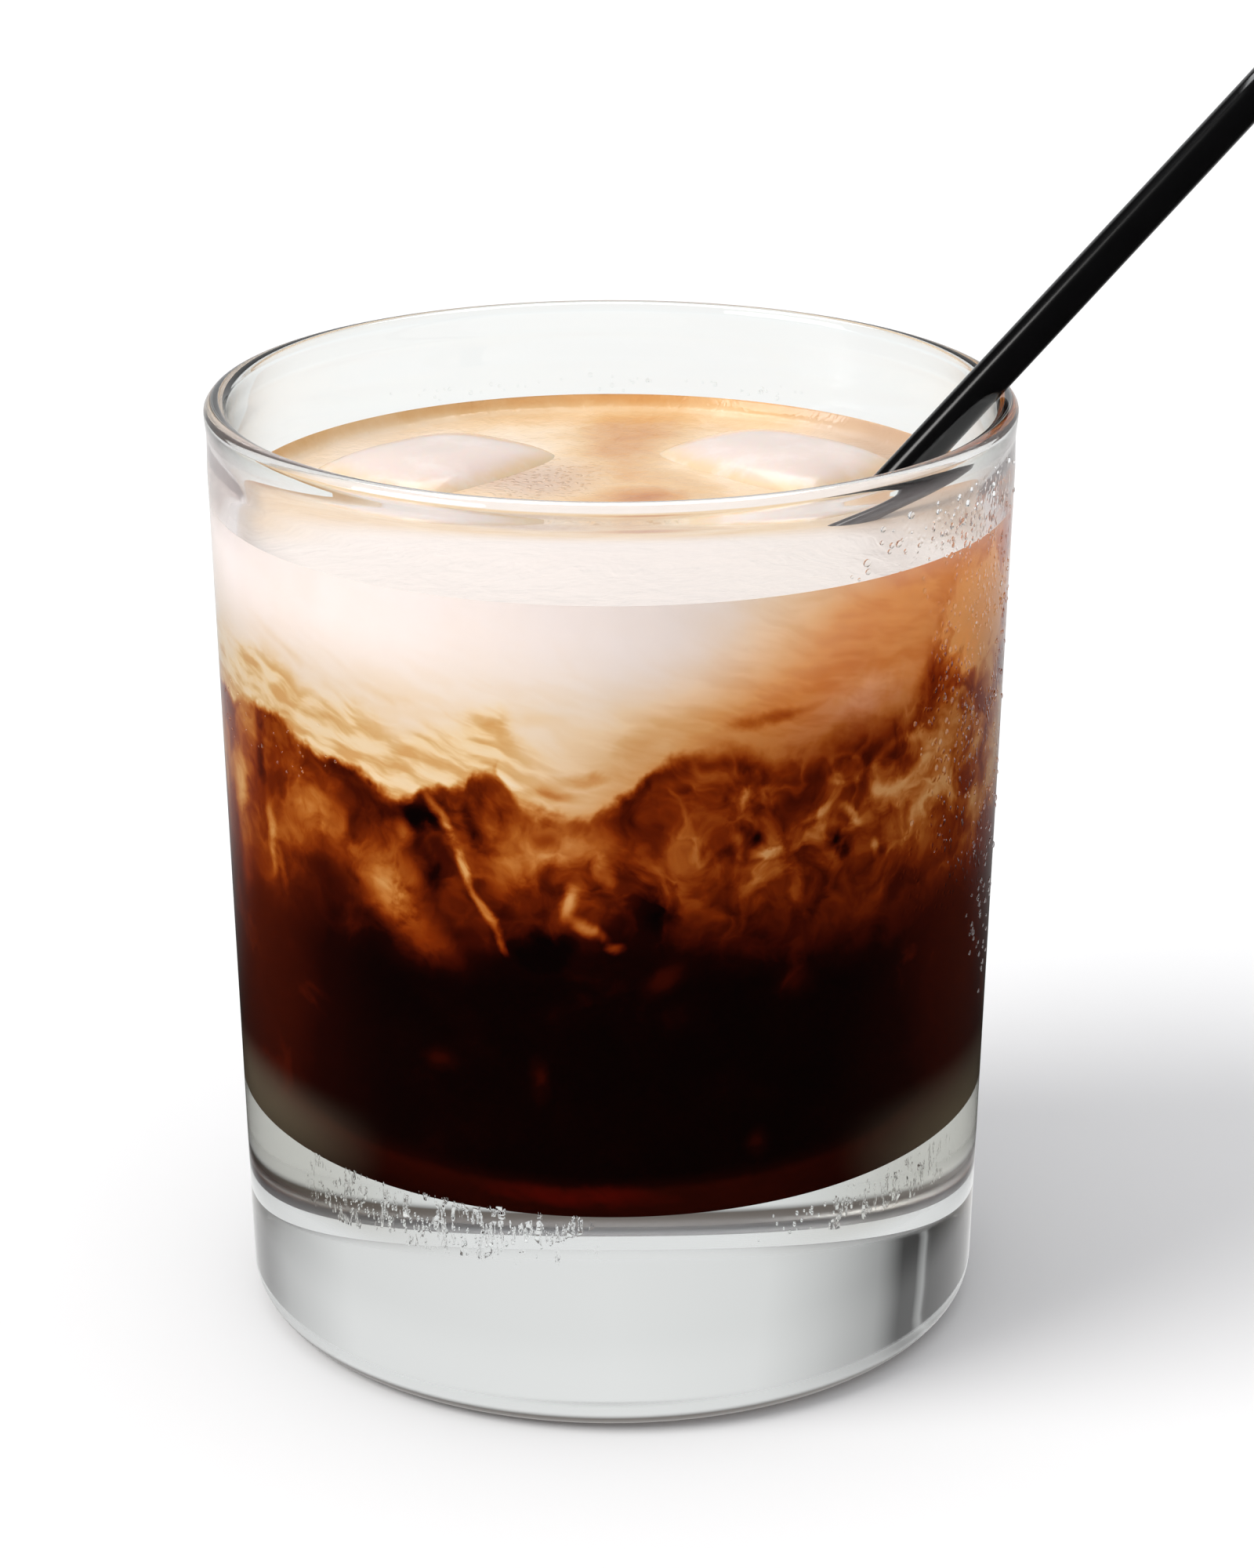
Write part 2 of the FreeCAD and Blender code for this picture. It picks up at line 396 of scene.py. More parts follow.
    def rays(self):
        """What kind of ray is asking: its outputs, and whether a mirror sent it."""
        kinds = self.node("ShaderNodeLightPath").outputs
        return kinds, self.math("SUBTRACT", kinds["Is Glossy Ray"], kinds["Is Transmission Ray"], clamp=True)

    def surface(self, **values):
        return self.filled("BsdfPrincipled", **values)

    def blend(self, amount, first, second):
        return self.fill(self.node("ShaderNodeMixShader"), (amount, first.outputs[0], second.outputs[0]))

    def out(self, shader, kind="OutputMaterial"):
        self.tree.links.new(shader.outputs[0], self.node("ShaderNode" + kind).inputs["Surface"])


def material(name):
    """A material, its wiring and the place on the piece in mm."""
    made = bpy.data.materials.get(name) or bpy.data.materials.new(name)
    made.use_nodes = True
    w = Wiring(made.node_tree)
    return made, w, w.scaled(w.node("ShaderNodeTexCoord").outputs["Object"], 1000.0)


def dew_relief(w, place, outside, front):
    """Fine beads on the cold outside, thickest on the right, and runs over the heavy base."""
    x, y, z = w.parts(place)
    bead = w.step(w.cells(w.moved(place, w.noise(place, 1.5, 1.0, colour=True), 0.8), 0.9), 0.42, 0.05)
    patchy = w.step(w.noise(place, 6.0, 3.0, 0.6), 0.40, 0.62)
    right = w.times(w.step(x, 27.0, 37.0), w.step(z, 50.0, 66.0), w.step(z, 99.0, 95.0))
    beads = w.times(outside, w.step(y, 4.0, -4.0), bead, patchy, right)

    streak = w.step(w.noise(w.stretched(place, 1, 1, 0.2), 0.55, 3.0, 0.7), 0.52, 0.60)
    streak = w.times(streak, w.step(w.noise(place, 3.0, 2.0), 0.44, 0.56))
    base_left = w.times(w.step(x, -33.0, -27.0), w.step(x, 0.0, -12.0),
                        w.step(z, 19.5, 21.5), w.step(z, 26.5, 24.5))
    base_right = w.times(w.step(x, 22.0, 28.0), w.step(x, 37.0, 33.0),
                         w.step(z, 20.5, 22.0), w.step(z, 26.0, 24.0), 0.7)
    runs = w.times(w.add(base_left, base_right), streak, outside, front, 1.4)
    ripple = w.add(w.times(w.noise(place, 26.0, 1.0), 0.10), w.times(w.add(beads, runs), 0.9))
    return w.bump(ripple, 1.0, 0.0002)


def glass_tone(w, place, outside, facing):
    """Nearly clear, with painted shade: grey-olive in the lip and beside the drink's lower corners, and a
    painted contact shadow at the foot.
    """
    x, _, z = w.parts(place)
    tone = w.mix(w.noise(place, 40.0, 0.0), linear((250, 252, 251)), sizes("glass").tint)
    # painted shade: the lip turns dark grey-olive where it turns away from view
    lip = w.times(w.step(facing, 0.30, 0.85), w.step(z, 89.0, 94.0), 0.85)
    tone = w.mix(lip, tone, linear((84, 78, 66)))
    # painted shade: grey-olive tone in the glass beside the drink's lower corners, at the sides
    sides = w.step(w.math("ABSOLUTE", x), 12.0, 33.0)
    corner = w.times(w.step(z, 33.0, 27.0), w.step(z, 17.5, 21.0), sides, outside, 0.8)
    tone = w.mix(corner, tone, linear((176, 172, 156)))
    # painted contact shadow: dark brown in the lowest couple of mm of the foot
    foot = w.times(w.step(z, 2.5, 1.7), w.step(z, 0.02, 0.12))
    return w.mix(foot, tone, linear((52, 44, 38)))


def mist_on_glass(w, place, outside, front):
    """Share of haze at the level of the drink, wiped thin on the right."""
    x, _, z = w.parts(place)
    smear = w.noise(w.stretched(place, 1, 1, 0.5), 7.0, 3.0, 0.55)
    wiped = w.times(w.step(z, 89.5, 92.5), w.step(x, 10.0, 30.0, 0.0, 0.5))
    thin = w.add(w.step(x, 30.0, 4.0, 0.16, 1.0), wiped)
    return w.times(w.step(z, 79.0, 91.0), w.step(z, 101.6, 99.6), front, outside, thin,
                   w.line(smear, 0.12, 0.16))


def clear_glass():
    """Clear soda glass, misted and wet where the cold drink stands behind it; light passes through."""
    made, w, place = material("clear_glass")
    g = sizes("glass")
    _, y, z = w.parts(place)
    reach = w.distance(w.stretched(place, 1, 1, 0))
    taper = (g.rim_radius - g.base_radius) / g.height
    under_skin = w.line(z, taper, g.base_radius / MM - 0.4)
    outside = w.step(w.math("SUBTRACT", reach, under_skin), 0.0, 0.2)
    front = w.step(y, 8.0, -14.0)
    facing = w.facing(0.35)

    heel = w.times(w.step(z, 4.6, 3.6), w.step(reach, 34.0, 35.0))
    glass = w.surface(Base_Color=glass_tone(w, place, outside, facing), Roughness=w.times(heel, 0.30),
                      IOR=1.45, Transmission_Weight=1.0, Normal=dew_relief(w, place, outside, front))
    vapour = w.filled("BsdfDiffuse", Color=linear((236, 224, 223)))
    misted = w.blend(mist_on_glass(w, place, outside, front), glass, vapour)

    shaded = w.mix(facing, (0.97, 0.97, 0.97), (0.25, 0.23, 0.24))
    shaded = w.mix(w.step(z, 5.0, 1.0), shaded, (0.06, 0.05, 0.05))
    shadow_ray = w.node("ShaderNodeLightPath").outputs["Is Shadow Ray"]
    w.out(w.blend(shadow_ray, misted, w.filled("BsdfTransparent", Color=shaded)))
    return made


MILK_TONES = (                    # share of cream: colour of the drink, between pure coffee and pure cream
    (0.07, (27, 3, 1)), (0.15, (62, 14, 3)), (0.24, (94, 29, 5)), (0.33, (124, 45, 8)),
    (0.42, (152, 71, 20)), (0.50, (176, 99, 38)), (0.58, (197, 128, 66)), (0.68, (216, 162, 104)),
    (0.78, (229, 191, 144)), (0.88, (243, 216, 182)))

ROOM_TONES = (                    # azimuth in degrees: grey of the room as thick glass shows it
    (-180, 231), (-166, 224), (-156, 198), (-146, 160), (-141, 72), (-136, 66), (-134, 170),
    (-132, 68), (-118, 62), (-108, 60), (-90, 84), (-76, 160),
    (-60, 225), (60, 225), (86, 140), (104, 84), (116, 116), (128, 186), (146, 228), (180, 231))

CREAM_EDGE = (                    # azimuth in degrees: height of the cream's lower edge in mm
    (-180, 74), (-150, 73), (-120, 75), (-90, 73), (-75, 72.5), (-61, 74), (-48, 72), (-36, 70.5),
    (-31, 69.6), (-27, 71), (-22, 71.4), (-16, 73.8), (-13.6, 71.6), (-7.4, 69.5), (0, 70.4), (5, 73),
    (12, 75.8), (19, 75), (25, 74), (35, 74.4), (45, 75.6), (51, 80), (57, 87), (67, 90), (80, 91),
    (110, 84), (130, 76), (155, 73), (180, 74))

# What stands out on the wall of the drink. Each row: azimuth in degrees and height in mm, half length and
# half width in mm, turn in degrees, softness of the edge, cream added.
PUFFS = (                         # clouds, strands and wisps of cream
    (-33, 58, 5.2, 4.2, 20, 1, 0.22), (-36, 61, 7.5, 6.5, 30, 1, 0.20), (-28, 54, 7, 4, -30, 1, 0.20),
    (-50, 66, 6, 4, -40, 1, 0.16), (-44, 63, 4, 5, 0, 0.9, 0.14), (-30.5, 66.3, 1.4, 1.8, 0, 0.9, 0.25),
    (-25.4, 68, 4.6, 1, -62, 0.8, 0.40), (-22.4, 63.6, 4.6, 0.95, -66, 0.8, 0.42),
    (-18.4, 58.6, 4.4, 0.85, -55, 0.8, 0.38), (-15.9, 55.2, 2, 0.7, -70, 0.8, 0.30),
    (-17.5, 68.6, 3.8, 1.2, 88, 0.8, 0.14), (-12, 63.7, 4.6, 3.6, 10, 0.9, 0.16),
    (-12.7, 59.6, 3, 2.6, 0, 0.9, 0.12), (-4.4, 66.4, 4.6, 2.8, 10, 0.9, 0.12),
    (-1, 63.6, 1.3, 2.6, 20, 0.7, 0.24), (-5.6, 60, 3, 1.1, 80, 0.8, 0.36),
    (-2.6, 56.8, 2.9, 1.2, -42, 0.8, 0.40), (0.4, 55, 1.4, 0.9, 0, 0.8, 0.30),
    (12.4, 73, 5.5, 1.5, 10, 0.9, 0.12), (19.2, 70.4, 2.6, 1, 70, 0.9, 0.22),
    (18.4, 65.6, 2.6, 1, 110, 0.9, 0.24), (23.5, 64, 2.2, 0.8, 0, 0.8, 0.26),
    (27.5, 60.6, 1.3, 3, 0, 0.8, 0.24), (24, 70.6, 3.2, 2, 0, 0.9, 0.14),
    (34, 70.8, 4.5, 2.4, 10, 0.9, 0.12), (52.3, 63, 7, 6, 0, 1, 0.10), (60, 70, 9, 7, 0, 1, 0.10),
    (66, 84.5, 13, 8.5, 0, 0.9, 0.56), (7.6, 51.6, 3.4, 2.2, 30, 1, 0.12),
    (28.1, 50, 3.6, 2.6, -20, 1, 0.09), (40, 66, 12, 7, 0, 1, 0.12), (21, 61, 9, 7, 0, 1, 0.06),
    (-30, 55, 5, 6, -20, 1, 0.10), (-34, 58, 9.5, 8.5, 20, 1, 0.07), (40, 54, 12, 6, 0, 1, 0.10),
    (31, 67.4, 2.6, 0.8, 24, 0.8, 0.18), (37.4, 66.6, 2.6, 0.8, -48, 0.8, 0.22),
    (41.2, 62.2, 1.6, 0.7, -80, 0.8, 0.22), (-60, 60, 1.3, 6.5, 8, 0.9, 0.24), (-71, 60, 3, 12, 0, 1, 0.22),
    (-57, 56.5, 1.1, 4.5, 14, 0.9, 0.22), (-26.3, 41.2, 3, 2, 0, 0.9, 0.09),
    (-10.4, 40.1, 1.6, 3.6, 0, 0.9, 0.10), (23, 32, 2, 2.6, 0, 0.9, 0.09))
GAPS = (                          # clear coffee between them
    (-28.5, 67.4, 3.6, 2.6, 0, 0.9, -0.20), (-26.6, 62.6, 1.6, 4.6, 20, 0.9, -0.16),
    (-62.6, 69.5, 1.4, 6, 0, 0.9, -0.20), (21.2, 65.8, 1.2, 1.4, 0, 0.9, -0.24),
    (34.5, 64, 2.6, 2, 0, 0.9, -0.26), (-20.5, 67, 1.2, 4, 10, 0.9, -0.20),
    (-8.5, 66.8, 2, 1.4, 0, 0.9, -0.14), (7.5, 59, 4.2, 5, 0, 1, -0.12), (-9, 55, 5, 3, 0, 1, -0.16))
CURLS = (                         # thin rings; the softness is the width of the ring
    (46.8, 70.8, 4, 2.4, 18, 0.34, 0.10), (35, 71.6, 2.6, 1.7, -25, 0.36, 0.10))
FOLDS = (                         # folds in the cream
    (22, 78.8, 8, 1, 8, 0.9, -0.16), (-52, 82.2, 10, 1, -16, 0.9, -0.11), (-30, 80, 9, 0.8, -6, 0.9, -0.07),
    (-14, 79, 9, 1.1, 8, 0.9, -0.05), (4, 77, 5, 2.2, 40, 0.9, -0.06), (40, 80.6, 7, 3, 20, 0.9, 0.07),
    (62, 85, 11, 7, 0, 1, -0.06), (-4, 73.4, 4.6, 1.1, 6, 0.9, -0.16),
    (-12.6, 71.4, 2, 1.6, -25, 0.8, -0.12), (-13.4, 72.8, 1.8, 0.7, -35, 0.8, 0.10),
    (-8.6, 71.8, 3, 1.2, -12, 0.9, -0.20), (-6.4, 86, 3, 0.8, -55, 0.9, -0.05))
TINTS = (                         # the rosy tint, and the painted reddish and orange glows
    (38, 78, 12, 6.5, 15, 1, 1), (-5, 26.6, 13, 2.2, -2, 1, 0.55), (62, 81, 15, 9, 20, 1, 1))

# The same for the top of the drink, with the centre to the right and to the back in mm: the cream over each
# cube, and the pool between them.
SURFACE_PUFFS = (
    (-20, 18, 21, 20, 0, 0.7, 0.18), (21, 19, 18, 19, 0, 0.7, 0.18), (2, 26, 10, 22, -10, 0.9, -0.17),
    (4, 8, 9, 9, 0, 1, -0.10), (3, 2, 11, 6, 0, 1, -0.22))


def milk_colour(w, milk):
    """The colour of the drink for a share of cream."""
    d = sizes("drink")
    middle = [(share, linear(shade)) for share, shade in MILK_TONES]
    return w.ramp(milk, [(0.0, d.coffee), *middle, (1.0, d.cream)])


def ovals(shape, place, rows):
    """The shape drawn once for each row; the place is measured along the wall and up it."""
    for azimuth, height, long, wide, turn, soft, amount in rows:
        yield shape(place, (math.radians(azimuth) * AROUND, height), (long, wide), turn, soft, amount)


def cloudy_coffee(w, place, wild, soft_place):
    """How much cream the mingled layer holds: clouds that thin out downwards, what stands out in it, and
    painted light where its wall turns from view.
    """
    x = w.parts(place)[0]
    h = w.parts(soft_place)[1]
    lumps = w.noise(wild, 7.0, 4.0)
    tendrils = w.math("ABSOLUTE", w.math("SUBTRACT", w.noise(wild, 9.0, 3.0), 0.5))
    depth_fade = w.step(h, 50.0, 64.0)
    clouds = w.times(w.step(lumps, 0.36, 0.68, 0.14, 0.44), w.step(x, -26.0, -8.0, 0.75, 1.0),
                     w.line(depth_fade, 0.96, 0.04))
    threads = w.times(w.step(tendrils, 0.075, 0.0), depth_fade, w.step(x, -14.0, 10.0, 0.04, 0.11))
    deep = w.times(w.step(lumps, 0.60, 0.75, 0.0, 0.07), w.step(h, 26.0, 40.0))
    # painted light: the drink paler where its wall turns away from view, more so higher up
    painted_edge_light = w.times(w.step(w.facing(0.5), 0.12, 0.30), w.step(h, 24.0, 60.0, 0.09, 0.20))
    total = w.add(clouds, threads, deep, painted_edge_light,
                  *ovals(w.puff, soft_place, PUFFS + GAPS), *ovals(w.curl, soft_place, CURLS))
    return w.math("MINIMUM", w.math("MAXIMUM", total, 0.0), 0.70)


def milk_on_the_wall(w, place):
    """Where the drink lies against the glass: its share of cream, how golden and rosy, and its painted
    reddish and orange glows.
    """
    x, y, z = w.parts(place)
    flat = w.combined(w.times(w.math("ARCTAN2", x, w.times(y, -1.0)), AROUND), z)
    broad = w.wander(place, 8.0, 2.0, 0.55)
    fine = w.wander(w.moved(place, broad, 6.0), 2.2, 3.0, 0.6)
    soft_place = w.moved(w.moved(flat, broad, 2.6), fine, 1.1)
    wild = w.moved(w.moved(place, broad, 9.0), fine, 1.8)
    s, h, _ = w.parts(soft_place)
    back = w.step(y, 14.0, 32.0)
    ahead = w.math("SUBTRACT", 1.0, back)

    # lower edge of the cream, softer on the right
    edge = w.curve(w.line(s, 1 / (AROUND * 2 * math.pi), 0.5),
                   [((a + 180) / 360, (height - 60) / 40) for a, height in CREAM_EDGE])
    edge = w.line(edge, 40.0, 60.0)
    billow = w.times(w.math("SUBTRACT", w.noise(place, 3.4, 3.0, 0.55), 0.5), 3.4)
    above = w.add(h, w.times(edge, -1.0), billow)
    soften = w.line(w.times(w.step(s, 4.0, 22.0), ahead), 3.0, 0.9)
    cream = w.step(w.math("DIVIDE", above, soften), -0.9, 1.0)

    # streaks and folds in the cream
    tilted = w.combined(x, y, w.line(x, 0.32, z))
    streak_place = w.stretched(w.moved(tilted, broad, 3.4), 1 / 6, 1 / 6, 1 / 1.5)
    streaks = w.step(w.noise(streak_place, 1.0, 3.0), 0.34, 0.66, -0.5, 0.5)
    gold = w.times(w.step(above, 8.5, 4.5), w.math("MAXIMUM", w.step(s, -3.0, -11.0), back))
    body = w.line(w.step(h, 76.0, 86.0), 0.06, 0.93)
    body = w.add(body, w.times(streaks, w.line(gold, 0.18, 0.055)), w.times(gold, -0.10))
    slant = w.add(w.times(s, 0.687), w.times(h, -0.725), 55.4)
    slanted = w.times(w.step(slant, -6.0, 11.0), ahead)
    body = w.add(body, w.times(slanted, -0.36), w.add(*ovals(w.puff, soft_place, FOLDS)))

    mingled = cloudy_coffee(w, place, wild, soft_place)
    milk = w.add(w.times(cream, body), w.times(w.math("SUBTRACT", 1.0, cream), mingled))
    # the rosy tint, then the painted glows: reddish near the foot, orange on the right
    rosy, painted_red_glow, painted_amber_glow = ovals(w.puff, soft_place, TINTS)
    painted_amber_glow = w.math("MAXIMUM", painted_amber_glow, w.times(slanted, w.step(h, 75.0, 83.0, 0.3, 0.8)))
    return milk, gold, rosy, painted_red_glow, painted_amber_glow


def drink_against_glass():
    """Coffee and cream as they lie against the inside of the glass, with painted shade on the left, painted
    glows, and painted pale grey at the lower corners.
    """
    made, w, place = material("drink_against_glass")
    x, y, z = w.parts(place)
    milk, gold, rosy, painted_red_glow, painted_amber_glow = milk_on_the_wall(w, place)
    shade = milk_colour(w, milk)
    shade = w.mix(w.times(gold, 0.5), shade, (1.06, 1.0, 0.72), "MULTIPLY")
    shade = w.mix(rosy, shade, (1.06, 1.16, 2.1), "MULTIPLY")
    # painted glow: orange brightening on the right of the cream
    shade = w.mix(w.times(painted_amber_glow, 0.8), shade, (1.75, 1.3, 0.78), "MULTIPLY")
    # painted shade: the left of the cream darkened against the daylight from the left
    left = w.times(w.step(x, -8.0, -34.0, 0.0, 0.7), w.step(z, 66.0, 76.0))
    shade = w.mix(left, shade, (0.76, 0.77, 0.80), "MULTIPLY")
    # painted glow: deep reddish light near the foot of the liqueur
    shade = w.mix(painted_red_glow, shade, linear((112, 14, 4)))
    haze = w.line(w.noise(w.stretched(place, 1, 1, 0.6), 9.0, 3.0), 0.7, 0.45)
    pale = w.times(w.step(z, 79.0, 88.0), w.step(x, 18.0, 0.0), w.step(y, 8.0, -14.0), haze)
    shade = w.mix(pale, shade, linear((250, 240, 238)))
    # painted light: pale grey on the drink's lower corners at the sides
    painted_grey_corners = w.times(w.step(z, 34.0, 23.5), w.step(w.math("ABSOLUTE", x), 22.0, 38.0), 0.75)
    shade = w.mix(painted_grey_corners, shade, linear((168, 154, 132)))
    w.out(w.surface(Base_Color=shade, Roughness=0.6, Specular_IOR_Level=0.0))
    return made


def drink_surface():
    """The top of the drink: cream and foam, with a pool of milky coffee between the ice, and a painted shadow
    on the right by the straw.
    """
    made, w, place = material("drink_surface")
    x, y, _ = w.parts(place)
    bent = w.moved(w.moved(place, w.wander(place, 9.0, 2.0, 0.55), 6.0), w.wander(place, 2.5, 3.0, 0.6), 1.6)
    flat = w.stretched(bent, 1, 1, 0)
    mottle = w.times(w.math("SUBTRACT", w.noise(bent, 7.0, 4.0, 0.6), 0.5), 0.24)
    milk = w.add(0.84, *(w.puff(flat, (cx, cy), (long, wide), turn, soft, amount)
                         for cx, cy, long, wide, turn, soft, amount in SURFACE_PUFFS), mottle)
    across = w.distance(w.stretched(place, 1, 1, 0))
    ring = w.times(w.step(across, 39.2, 40.3, 0.0, -0.12), w.step(y, -10.0, 14.0))
    shade = milk_colour(w, w.add(milk, ring))
    foam = w.puff(flat, (-9.0, 10.0), (10.0, 12.0), -40, 0.9)
    shade = w.mix(w.times(foam, 0.75), shade, linear((201, 172, 158)))
    shade = w.mix(0.6, shade, (1.06, 0.99, 0.88), "MULTIPLY")
    # painted shadow: tan shade on the right of the surface, by the straw
    right = w.step(w.add(x, w.times(w.noise(place, 12.0), 8.0)), 20.0, 34.0)
    shade = w.mix(w.times(right, 0.9), shade, linear((200, 168, 142)))
    shade = w.mix(w.step(y, -5.0, -17.0, 0.0, 0.95), shade, linear((250, 238, 232)))
    bubbles = w.times(w.step(w.cells(bent, 0.8), 0.5, 0.0), w.line(foam, 0.9, 0.1), 0.8)
    relief = w.bump(w.add(w.noise(bent, 3.0, 3.0), bubbles), 0.5, 0.0004)
    w.out(w.surface(Base_Color=shade, Roughness=0.16, Specular_IOR_Level=0.4, Normal=relief))
    return made


def creamy_ice():
    """Ice under a film of cream, clearer on its crown."""
    made, w, place = material("creamy_ice")
    uneven = w.math("SUBTRACT", w.noise(place, 6.0, 3.0), 0.5)
    height = w.add(w.parts(place)[2], w.times(uneven, 1.2))
    shade = w.mix(w.step(height, 90.0, 91.5), linear((236, 204, 168)), linear((234, 216, 207)))
    cracks = w.step(w.noise(place, 5.0, 4.0, 0.6), 0.48, 0.75, 0.0, 0.5)
    shade = w.mix(cracks, shade, linear((246, 234, 229)))
    w.out(w.surface(Base_Color=shade, Roughness=0.16, IOR=1.31, Subsurface_Weight=0.3,
                    Subsurface_Scale=0.004))
    return made


def water():
    """Drops of dew."""
    made, w, place = material("water")
    tone = w.mix(w.noise(place, 5.0), linear((250, 252, 252)), (1.0, 1.0, 1.0))
    w.out(w.surface(Base_Color=tone, Roughness=0.0, IOR=1.33, Transmission_Weight=1.0))
    return made


def black_plastic():
    """Glossy extruded plastic."""
    made, w, place = material("black_plastic")
    tone = w.mix(w.noise(place, 3.0, 2.0), sizes("straw").black, linear((9, 9, 10)))
    w.out(w.surface(Base_Color=tone, Roughness=0.14, IOR=1.5))
    return made


# ---- pieces ---------------------------------------------------------------------------------------
RINGS = (0, 0.06, 0.15, 0.25, 0.35, 0.45, 0.55, 0.64, 0.72, 0.79, 0.85, 0.90, 0.93, 0.95, 0.965, 0.98,
         0.99, 1.0)               # shares of the radius, closest where the drink climbs the wall
BILLOWS = 19                      # lobes hanging from the cream round the wall
UNEVEN = 0.36                     # how unevenly deep and wide they are
LEAN_AZIMUTH = 70                 # side where the cream is thinnest
CURL_AZIMUTH, CURL_HALF_WIDTH = -6, 7.5     # the large curl, in degrees
SWELL_PITCH = 17 * MM             # from wave to wave in the underside away from the wall

ICE_CUBES = (                     # side, width, length and height in mm, azimuth, tip, roll, seed
    ("left", 25, 31.5, 22, -132, 1.5, 2.2, 3),
    ("right", 24.5, 31.5, 21, 136, 1.0, -2.0, 8))

# Each row of dew: how many, azimuths between, heights between, radii between, stretch, whether inside
DEW_FIELDS = (
    (170, 46, 84, 56, 100, 0.14, 0.34, 1.2, False), (60, 64, 84, 38, 62, 0.18, 0.36, 1.2, False),
    (46, 32, 70, 91.0, 99, 0.18, 0.50, 0.9, False), (110, -50, -8, 20.5, 24.5, 0.10, 0.22, 2.4, False),
    (34, 20, 48, 21, 24.5, 0.10, 0.20, 1.8, False), (40, -78, -40, 68, 76, 0.12, 0.24, 1.0, False),
    (44, 140, 220, 91.9, 94, 0.14, 0.30, 1.0, True))


def seat(piece, node):
    """Puts a finished piece in the place of a plain one, where there is one."""
    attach(piece, "root")
    if node:
        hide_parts(node)


def ring_of_faces(bm, low, high):
    """Faces between two loops, or a fan where one of them is a single point."""
    sides = max(len(low), len(high))
    for k in range(sides):
        j = (k + 1) % sides
        corners = [low[k % len(low)], low[j % len(low)], high[j % len(high)], high[k % len(high)]]
        bm.faces.new(list(dict.fromkeys(corners)))


def polar_solid(bm, top_at, bottom_at):
    """Closed round slab between two heights, both given by azimuth and share of the radius."""
    turns = [2 * math.pi * k / ROUND for k in range(ROUND)]
    sides = []
    for point in (top_at, bottom_at):
        loops = [[bm.verts.new(point(t, share)) for t in (turns if share > 0 else turns[:1])]
                 for share in RINGS]
        for inner, outer in zip(loops, loops[1:]):
            ring_of_faces(bm, inner, outer)
        sides.append(loops[-1])
    ring_of_faces(bm, *sides)


def lobe(azimuth, centre, half_width):
    """1 at the centre, fading out on both sides; all in degrees."""
    d = (azimuth - centre + 180) % 360 - 180
    return math.exp(-(d / half_width) ** 2)


def nearness(x, y, height):
    """0 on the axis, 1 at the wall of the glass."""
    return min(1.0, math.hypot(x, y) / inner_radius(height)) ** 2


def cream_top(x, y):
    """Level, a little uneven, and climbing the wall."""
    d = sizes("drink")
    edge = inner_radius(d.level)
    climb = max(0.0, (math.hypot(x, y) - (edge - d.meniscus_width)) / d.meniscus_width)
    swell = 0.12 * MM * noise.noise(Vector((x, y, 0)) * 90)
    return d.level + swell * (1 - min(climb, 1)) + d.meniscus_rise * min(climb, 1.04) ** 3


def cream_underside(x, y):
    """Leaning, with uneven billows round the wall and one large curl."""
    d = sizes("drink")
    azimuth = math.degrees(math.atan2(x, -y))
    near_wall = nearness(x, y, d.cream_base)
    z = d.cream_base + d.cream_lean * near_wall * math.cos(math.radians(azimuth - LEAN_AZIMUTH))
    pitch = 360 / BILLOWS
    for k in range(BILLOWS):
        uneven = UNEVEN * math.sin(2.4 * k + 0.6)
        centre = pitch * (k + 0.8 * UNEVEN * math.cos(1.7 * k))
        hang = lobe(azimuth, centre, 0.36 * pitch * (1 + uneven))
        z -= near_wall * d.cream_lobe_drop * (1 + 1.5 * uneven) * hang
    z -= near_wall * d.cream_curl_drop * lobe(azimuth, CURL_AZIMUTH, CURL_HALF_WIDTH)
    wave = 2 * math.pi / SWELL_PITCH
    return z + d.cream_swell * (1 - near_wall) * math.sin(wave * x) * math.cos(wave * y)


def mingled_underside(x, y):
    """Slow waves round the wall."""
    d = sizes("drink")
    azimuth = math.atan2(x, -y)
    waves = 0.6 * math.sin(7 * azimuth + 0.8) + 0.4 * math.sin(3 * azimuth - 0.5)
    return d.mingled_base + d.mingled_wave * nearness(x, y, d.mingled_base) * waves


def wall_point(azimuth, height_at):
    """Where a wavy height meets the inside of the glass, just in the wall."""
    grip = sizes("drink").wall_grip
    direction = outward(azimuth)
    r = inner_radius(sizes("drink").level)
    for _ in range(3):
        z = height_at(direction.x * r, direction.y * r)
        r = inner_radius(z) + grip
    return r, z


def slab_between(bm, upper, lower):
    """A layer of the drink between two heights."""
    def at(height_at):
        def point(azimuth, share):
            r, z = wall_point(azimuth, height_at)
            p = outward(azimuth) * (r * share)
            return (p.x, p.y, z if share >= 1.0 else height_at(p.x, p.y))
        return point
    polar_solid(bm, at(upper), at(lower))


def liqueur_body(bm):
    """The lowest layer: a slab down to the corner of the floor, then round the corner and over the floor."""
    floor_end, corner = floor_corner(sizes("drink").wall_grip)
    edge, low = corner[-1]
    slab_between(bm, mingled_underside, lambda x, y: low)
    bottom = [v for v in bm.verts if abs(v.co.z - low) < 1e-6]
    ring = [v for v in bottom if v.co.xy.length > edge * 0.995]
    bmesh.ops.delete(bm, geom=[v for v in bottom if v not in ring], context="VERTS")
    loops = [sorted(ring, key=lambda v: math.atan2(v.co.x, -v.co.y) % (2 * math.pi))]
    for r, z in corner[-2::-1] + [(floor_end * (4 - i) / 4, corner[0][1]) for i in range(1, 5)]:
        around = ROUND if r > 0 else 1
        loops.append([bm.verts.new(outward(2 * math.pi * k / ROUND) * r + Vector((0, 0, z)))
                      for k in range(around)])
    for outer, inner in zip(loops, loops[1:]):
        ring_of_faces(bm, outer, inner)


